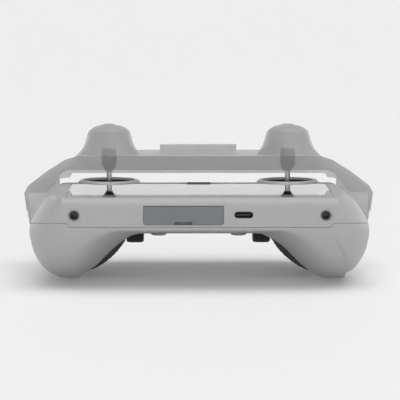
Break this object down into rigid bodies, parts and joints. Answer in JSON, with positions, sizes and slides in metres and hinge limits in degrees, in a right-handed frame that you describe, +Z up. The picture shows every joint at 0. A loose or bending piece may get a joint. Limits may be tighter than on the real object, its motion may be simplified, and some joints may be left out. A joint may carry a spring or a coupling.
{
  "type": "drone remote controller",
  "caption": "Handheld drone remote controller with a built-in screen, two centring sticks, dials and buttons, a card door, and a clear clip-on stick guard.",
  "frame": {"origin": "under the middle of the outline, on the plane the grips rest on", "axes": "+X to the right, +Y from the user towards the far edge, +Z up out of the screen"},
  "size_m": [0.1804, 0.1238, 0.0754],
  "materials": {
    "light_shell": "fine matt texture, light grey",
    "grey_plastic": "matt mid grey",
    "dark_plastic": "matt near-black",
    "screen_glass": "glossy black-backed glass",
    "display": "panel with metal tray",
    "guard_smoke": "translucent smoky grey",
    "grip_rubber": "textured rubber",
    "steel": "plain machined",
    "magnesium": "cast, plain",
    "brass": "knurled inserts",
    "board_green": "solder mask",
    "cell_wrap": "heat-shrink wrap",
    "light_pipe": "clear diffuser"
  },
  "bodies": {
    "controller": {"antennas": "steel", "button_switches": "steel", "card_socket": "dark_plastic", "dial_brackets": "dark_plastic", "display_module": "display", "door_hinge_pin": "steel", "fan_housing": "dark_plastic", "front_shell": "light_shell", "heat_spreader": "magnesium", "housing_screws": "steel", "led_light_pipes": "light_pipe", "left_battery_cell": "cell_wrap", "left_gimbal_frame": "dark_plastic", "left_grip_pad": "grip_rubber", "left_stick_ring": "light_shell", "main_board": "board_green", "mid_frame": "magnesium", "mode_switch_module": "dark_plastic", "rear_shell": "light_shell", "right_battery_cell": "cell_wrap", "right_gimbal_frame": "dark_plastic", "right_grip_pad": "grip_rubber", "right_stick_ring": "light_shell", "screen_glass": "screen_glass", "screw_inserts": "brass", "speaker": "dark_plastic", "strap_inserts": "brass", "usb_c_socket": "steel", "vent_grille": "dark_plastic"},
    "left_yoke": {"left_yoke": "dark_plastic"},
    "right_yoke": {"right_yoke": "dark_plastic"},
    "left_stick": {"left_stick_base": "steel", "left_stick_dome": "dark_plastic", "left_stick_knob": "dark_plastic"},
    "right_stick": {"right_stick_base": "steel", "right_stick_dome": "dark_plastic", "right_stick_knob": "dark_plastic"},
    "mode_switch": {"mode_switch": "dark_plastic"},
    "pause_button": {"pause_button": "grey_plastic"},
    "power_button": {"power_button": "grey_plastic"},
    "c1_button": {"c1_button": "grey_plastic"},
    "c2_button": {"c2_button": "grey_plastic"},
    "record_button": {"record_button": "grey_plastic"},
    "shutter_button": {"shutter_button": "grey_plastic"},
    "left_dial": {"left_dial": "grip_rubber", "left_dial_axle": "steel"},
    "right_dial": {"right_dial": "grip_rubber", "right_dial_axle": "steel"},
    "card_door": {"card_door": "grey_plastic"},
    "fan_rotor": {"fan_rotor": "dark_plastic"},
    "stick_guard": {"guard_bar": "guard_smoke", "left_guard_bell": "guard_smoke", "right_guard_bell": "guard_smoke", "left_guard_arm": "guard_smoke", "right_guard_arm": "guard_smoke"}
  },
  "joints": [
    {"name": "left_stick_fore_aft", "type": "hinge", "parent": "controller", "child": "left_yoke", "pos_m": [-0.04675, 0.03315, 0.0339], "axis": [1, 0, 0], "range_deg": [-15, 15], "stiffness_Nm_per_rad": 0.06},
    {"name": "left_stick_side", "type": "hinge", "parent": "left_yoke", "child": "left_stick", "pos_m": [-0.04675, 0.03315, 0.0339], "axis": [0, 1, 0], "range_deg": [-15, 15], "stiffness_Nm_per_rad": 0.06},
    {"name": "left_dial_turn", "type": "hinge", "parent": "controller", "child": "left_dial", "pos_m": [-0.0336, 0.05135, 0.0203], "axis": [1, 0, 0], "range_deg": [-35, 35], "stiffness_Nm_per_rad": 0.02},
    {"name": "right_stick_fore_aft", "type": "hinge", "parent": "controller", "child": "right_yoke", "pos_m": [0.04675, 0.03315, 0.0339], "axis": [1, 0, 0], "range_deg": [-15, 15], "stiffness_Nm_per_rad": 0.06},
    {"name": "right_stick_side", "type": "hinge", "parent": "right_yoke", "child": "right_stick", "pos_m": [0.04675, 0.03315, 0.0339], "axis": [0, 1, 0], "range_deg": [-15, 15], "stiffness_Nm_per_rad": 0.06},
    {"name": "right_dial_turn", "type": "hinge", "parent": "controller", "child": "right_dial", "pos_m": [0.0336, 0.05135, 0.0203], "axis": [1, 0, 0], "range_deg": [-35, 35], "stiffness_Nm_per_rad": 0.02},
    {"name": "mode_switch_slide", "type": "slide", "parent": "controller", "child": "mode_switch", "axis": [1, 0, 0], "range_m": [-0.004, 0.004]},
    {"name": "pause_press", "type": "slide", "parent": "controller", "child": "pause_button", "axis": [0, 0, -1], "range_m": [0, 0.0006], "stiffness_N_per_m": 600, "springref_m": -0.0004},
    {"name": "power_press", "type": "slide", "parent": "controller", "child": "power_button", "axis": [0, 0, -1], "range_m": [0, 0.0006], "stiffness_N_per_m": 600, "springref_m": -0.0004},
    {"name": "c1_press", "type": "slide", "parent": "controller", "child": "c1_button", "axis": [0, 0, 1], "range_m": [0, 0.0007], "stiffness_N_per_m": 600, "springref_m": -0.0004},
    {"name": "c2_press", "type": "slide", "parent": "controller", "child": "c2_button", "axis": [0, 0, 1], "range_m": [0, 0.0007], "stiffness_N_per_m": 600, "springref_m": -0.0004},
    {"name": "record_press", "type": "slide", "parent": "controller", "child": "record_button", "axis": [0, -1, 0], "range_m": [0, 0.001], "stiffness_N_per_m": 600, "springref_m": -0.0004},
    {"name": "shutter_press", "type": "slide", "parent": "controller", "child": "shutter_button", "axis": [0, -1, 0], "range_m": [0, 0.001], "stiffness_N_per_m": 600, "springref_m": -0.0004},
    {"name": "card_door_open", "type": "hinge", "parent": "controller", "child": "card_door", "pos_m": [0, -0.06105, 0.04085], "axis": [-1, 0, 0], "range_deg": [0, 95]},
    {"name": "fan_spin", "type": "hinge", "parent": "controller", "child": "fan_rotor", "pos_m": [0, 0.01815, 0.027], "axis": [0, 0, 1], "continuous": true},
    {"name": "guard_lift", "type": "slide", "parent": "controller", "child": "stick_guard", "axis": [0, 0, 1], "range_m": [0, 0.05]}
  ]
}
